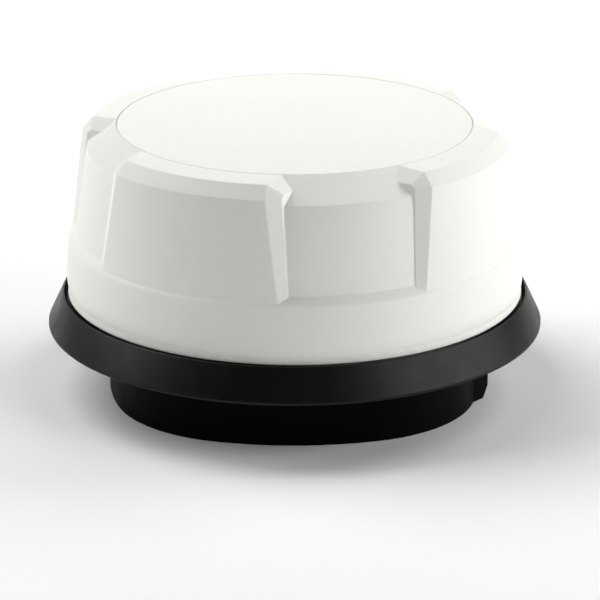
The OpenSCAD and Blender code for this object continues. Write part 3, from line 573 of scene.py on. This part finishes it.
def make_finishes():
    """One material for each slot of the record."""
    return {
        "radome_white": moulded("radome_white", WHITE, 0.55, 0.35, 0.34, 0.11, 0.01),
        "disc_white": moulded("disc_white", WHITE, 0.55, 0.35, 0.34, 0.11, 0.01),
        "ring_rubber": moulded("ring_rubber", (0.005, 0.005, 0.0045), 0.38, 0.18, 0.3, 0.03),
        "base_black": moulded("base_black", (0.0014, 0.0012, 0.0009), 0.5, 0.04, 0.3, 0.02),
        "door_black": moulded("door_black", (0.006, 0.006, 0.0055), 0.5, 0.3, 0.35, 0.02),
        "cast_alloy": metal("cast_alloy", (0.62, 0.62, 0.60), 0.42, scale=500),
        "seal_silicone": moulded("seal_silicone", (0.10, 0.11, 0.12), 0.45, 0.5, 0.6, 0.01),
        "screw_steel": metal("screw_steel", (0.58, 0.57, 0.55), 0.3, scale=2500),
        "brass_part": metal("brass_part", (0.78, 0.60, 0.32), 0.28, (1, 1, 8), 1500),
        "pressed_steel": metal("pressed_steel", (0.60, 0.60, 0.58), 0.33, (8, 1, 1), 700),
        "bay_plastic": moulded("bay_plastic", (0.015, 0.015, 0.016), 0.5, 0.4, 0.4, 0.02),
        "pack_shell": moulded("pack_shell", (0.022, 0.023, 0.026), 0.42, 0.5, 0.35, 0.015),
        "gold_contact": metal("gold_contact", (0.93, 0.72, 0.32), 0.22, scale=2500),
        "lead_red": moulded("lead_red", (0.50, 0.012, 0.010), 0.38, 0.5, 0.5, 0.01, 0.1),
        "lock_orange": moulded("lock_orange", (0.72, 0.17, 0.012), 0.42, 0.5, 0.3, 0.012),
        "button_grey": moulded("button_grey", (0.035, 0.035, 0.036), 0.55, 0.4, 0.3, 0.02),
        "switch_black": moulded("switch_black", (0.018, 0.018, 0.018), 0.35, 0.5, 0.3, 0.01),
        "circuit_board": laminate("circuit_board", (0.008, 0.075, 0.03)),
        "led_chip": moulded("led_chip", (0.72, 0.70, 0.60), 0.3, 0.5, 0.2, 0.005),
        "light_pipe": clear("light_pipe", (0.80, 0.84, 0.84)),
        "flex_film": moulded("flex_film", (0.42, 0.20, 0.035), 0.28, 0.6, 0.5, 0.006, 0.12),
        "cover_rubber": moulded("cover_rubber", (0.010, 0.010, 0.0095), 0.58, 0.35, 0.45, 0.03),
        "shield_tin": metal("shield_tin", (0.72, 0.71, 0.69), 0.3, (1, 6, 1), 900),
        "chip_black": moulded("chip_black", (0.014, 0.014, 0.015), 0.48, 0.4, 0.15, 0.006),
        "plate_alloy": metal("plate_alloy", (0.70, 0.71, 0.72), 0.34, (1, 10, 1), 800),
        "patch_ceramic": moulded("patch_ceramic", (0.70, 0.66, 0.57), 0.5, 0.45, 0.25, 0.012),
        "silver_film": metal("silver_film", (0.83, 0.82, 0.79), 0.36, scale=1800),
        "cable_black": moulded("cable_black", (0.016, 0.016, 0.016), 0.4, 0.5, 0.5, 0.01),
        "membrane_white": moulded("membrane_white", (0.74, 0.74, 0.72), 0.85, 0.2, 0.25, 0.03),
    }


def laminate(name, colour):
    """Circuit board: solder mask over faint copper tracks laid out in blocks."""
    material, tree, surface = shader(name, colour, 0.32, 0, 0.5)
    place = tree.nodes.new("ShaderNodeTexCoord")
    tracks = tree.nodes.new("ShaderNodeTexBrick")
    tracks.inputs["Scale"].default_value = 260
    tracks.inputs["Mortar Size"].default_value = 0.045
    tracks.inputs["Color1"].default_value = (*colour, 1)
    tracks.inputs["Color2"].default_value = (*[c * 1.3 for c in colour], 1)
    tracks.inputs["Mortar"].default_value = (*[c * 2.2 for c in colour], 1)
    tree.links.new(place.outputs["Object"], tracks.inputs["Vector"])
    tree.links.new(tracks.outputs["Color"], surface.inputs["Base Color"])
    rough = noise(tree, 300, 3)
    tree.links.new(vary(tree, rough, 0.26, 0.4), surface.inputs["Roughness"])
    bump(tree, surface, tracks.outputs["Fac"], 0.02 * MM, 0.6)
    return material


def clear(name, colour):
    """Clear moulded plastic for the light pipes."""
    material, tree, surface = shader(name, colour, 0.12, 0, 0.5)
    surface.inputs["Transmission Weight"].default_value = 0.85
    surface.inputs["IOR"].default_value = 1.49
    haze = noise(tree, 900, 3)
    tree.links.new(vary(tree, haze, 0.08, 0.2), surface.inputs["Roughness"])
    return material


def soften(node, width=0.2):
    """Rounds the sharp edges of a CAD node a little, as moulding and machining do."""
    edge = node.modifiers.new("softened", "BEVEL")
    edge.width = width * MM
    edge.segments = 2
    edge.limit_method = "ANGLE"
    edge.angle_limit = math.radians(35)
    edge.harden_normals = True


def assign(piece, material):
    """Gives a piece this material and no other."""
    piece.data.materials.clear()
    piece.data.materials.append(material)


# ---------- Studio ----------

# Soft lamps around the object: azimuth from the front towards the right, elevation, watts.
# There is none between the left and the front right, so the walls there are in shade. The
# low ones light the walls and the high ones the top.
LAMPS = {
    "front_right": (60, 25, 9),
    "right_low": (90, 10, 8),
    "back_right": (120, 40, 9),
    "back_low": (180, 10, 6),
    "back_left": (240, 30, 4),
    "back_left_high": (240, 55, 10),
    "left": (270, 30, 8),
}
LAMP_DISTANCE = 1.5
LAMP_SIZE = 1
FILL = 0.01  # brightness of the room itself
FLOOR_SIZE = 12


def lamp(name, azimuth, elevation, watts):
    """A round soft lamp, aimed at the middle of the object."""
    turn, tilt = math.radians(azimuth), math.radians(elevation)
    direction = Vector((math.sin(turn) * math.cos(tilt), -math.cos(turn) * math.cos(tilt),
                        math.sin(tilt)))
    data = bpy.data.lights.new(name, "AREA")
    data.shape = "DISK"
    data.size = LAMP_SIZE
    data.energy = watts
    piece = bpy.data.objects.new(name, data)
    piece.location = Vector((0, 0, TOP_Z / 2 * MM)) + direction * LAMP_DISTANCE
    piece.rotation_euler = (-direction).to_track_quat("-Z", "Y").to_euler()
    bpy.context.scene.collection.objects.link(piece)


def studio():
    """A nearly dark room with the soft lamps and a pale paper floor."""
    world = bpy.data.worlds.new("studio")
    world.use_nodes = True
    background = world.node_tree.nodes["Background"]
    background.inputs["Color"].default_value = (1, 1, 1, 1)
    background.inputs["Strength"].default_value = FILL
    bpy.context.scene.world = world
    for name, (azimuth, elevation, watts) in LAMPS.items():
        lamp(name, azimuth, elevation, watts)
    mesh = bpy.data.meshes.new("floor")
    reach = FLOOR_SIZE / 2
    corners = [(-reach, -reach, 0), (reach, -reach, 0), (reach, reach, 0), (-reach, reach, 0)]
    mesh.from_pydata(corners, [], [(0, 1, 2, 3)])
    floor = bpy.data.objects.new("floor", mesh)
    bpy.context.scene.collection.objects.link(floor)
    assign(floor, shader("floor_paper", (0.93, 0.93, 0.92), 0.9, 0, 0.1)[0])


def camera():
    """A long lens in front of the object, looking down at it."""
    data = bpy.data.cameras.new("view")
    data.lens = 198.5
    data.sensor_width = 36
    data.clip_end = 50
    eye = bpy.data.objects.new("view", data)
    aim = Vector((0.0016, 0, 0.025))
    elevation = math.radians(19.5)
    distance = 1.01
    eye.location = aim + Vector((0, -math.cos(elevation), math.sin(elevation))) * distance
    eye.rotation_euler = (aim - eye.location).to_track_quat("-Z", "Y").to_euler()
    bpy.context.scene.collection.objects.link(eye)
    bpy.context.scene.camera = eye


# ---------- Putting it together ----------

bpy.context.scene.view_settings.view_transform = "Standard"
camera()
studio()

finishes = make_finishes()
for make in (make_radome, make_top_disc, make_bumper_ring, make_pole_insert):
    make()
slots = {part["node"]: part["material_slot"] for part in frame["record"]["subparts"]}
for cad_name, node in frame["nodes"].items():
    if not node.hide_render:
        soften(node)
    assign(node, finishes[slots[cad_name]])
